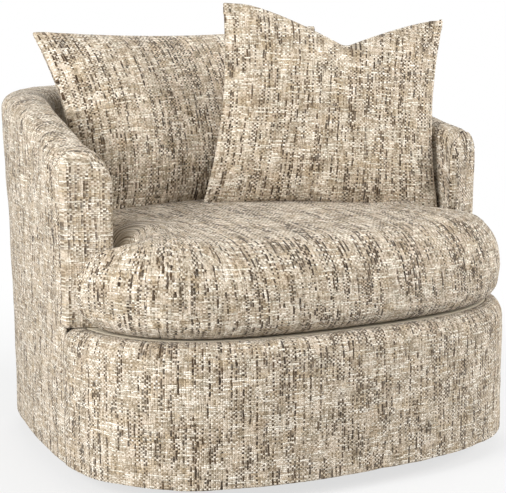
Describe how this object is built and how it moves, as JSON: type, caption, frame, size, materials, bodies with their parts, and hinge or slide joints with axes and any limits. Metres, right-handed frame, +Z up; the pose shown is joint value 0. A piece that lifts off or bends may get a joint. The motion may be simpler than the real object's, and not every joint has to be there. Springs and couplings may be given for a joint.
{
  "type": "swivel rocker",
  "caption": "Fully upholstered barrel swivel rocker with swept arms, a crowned T-shaped seat cushion, a loose back pillow and a throw pillow, over a hidden turning and rocking steel base.",
  "frame": {"origin": "on the floor under the middle of the overall width and depth; the swivel axis stands 29.7 mm ahead of it (towards -Y)", "axes": "+Z up; the front of the chair faces -Y; +X is the right side as seen from the front"},
  "size_m": [1.0032, 1.0454, 0.9389],
  "materials": {
    "tweed": "woven tweed, cream-beige ground with dark brown warp slubs and white and tan weft flecks",
    "deck_cloth": "plain natural deck cloth over felt",
    "cambric": "black spun-bonded dust cloth",
    "timber": "unfinished frame hardwood and plywood",
    "black_steel": "satin black powder coat",
    "zinc_steel": "zinc-plated pressed steel",
    "spring_steel": "oiled spring steel and turned steel",
    "nylon": "natural nylon"
  },
  "bodies": {
    "base": {"base_ring": "black_steel", "spider": "black_steel", "glide_1": "nylon", "glide_2": "nylon", "glide_3": "nylon", "glide_4": "nylon", "king_bolt": "zinc_steel", "lower_race": "zinc_steel"},
    "bearing": {"ball_cage": "spring_steel"},
    "carriage": {"upper_race": "zinc_steel", "swivel_plate": "zinc_steel", "left_pivot_bracket": "zinc_steel", "right_pivot_bracket": "zinc_steel", "pivot_shaft": "spring_steel", "front_spring_tray": "zinc_steel", "rear_spring_tray": "zinc_steel", "front_left_spring": "spring_steel", "front_right_spring": "spring_steel", "rear_left_spring": "spring_steel", "rear_right_spring": "spring_steel"},
    "chair": {"tilt_plate": "zinc_steel", "left_bush": "nylon", "right_bush": "nylon", "front_left_bolt": "zinc_steel", "front_right_bolt": "zinc_steel", "rear_left_bolt": "zinc_steel", "rear_right_bolt": "zinc_steel", "left_front_post": "timber", "right_front_post": "timber", "left_back_post": "timber", "right_back_post": "timber", "left_arm_rail": "timber", "right_arm_rail": "timber", "left_seat_rail": "timber", "right_seat_rail": "timber", "front_seat_rail": "timber", "back_seat_rail": "timber", "back_top_rail": "timber", "front_hem_rail": "timber", "rear_hem_rail": "timber", "cross_rail": "timber", "front_slat": "timber", "rear_slat": "timber", "sinuous_spring_1": "spring_steel", "sinuous_spring_2": "spring_steel", "sinuous_spring_3": "spring_steel", "sinuous_spring_4": "spring_steel", "left_arm_upholstery": "tweed", "right_arm_upholstery": "tweed", "back_upholstery": "tweed", "left_arm_front_panel": "tweed", "right_arm_front_panel": "tweed", "front_border": "tweed", "deck_pad": "deck_cloth", "front_dust_cover": "cambric", "rear_dust_cover": "cambric", "seat_cushion": "tweed", "back_pillow": "tweed", "throw_pillow": "tweed"}
  },
  "joints": [
    {"name": "swivel", "type": "hinge", "parent": "base", "child": "carriage", "pos_m": [0, -0.02969, 0.085], "axis": [0, 0, 1], "continuous": true},
    {"name": "bearing_turn", "type": "hinge", "parent": "base", "child": "bearing", "pos_m": [0, -0.02969, 0.085], "axis": [0, 0, 1], "continuous": true},
    {"name": "rock", "type": "hinge", "parent": "carriage", "child": "chair", "pos_m": [0, -0.02969, 0.152], "axis": [1, 0, 0], "range_deg": [-3.5, 3.5], "stiffness_Nm_per_rad": 1700, "deforming": ["front_left_spring", "front_right_spring", "rear_left_spring", "rear_right_spring"]}
  ],
  "couplings": [
    {"joint": "bearing_turn", "follows": "swivel", "ratio": 0.5}
  ]
}
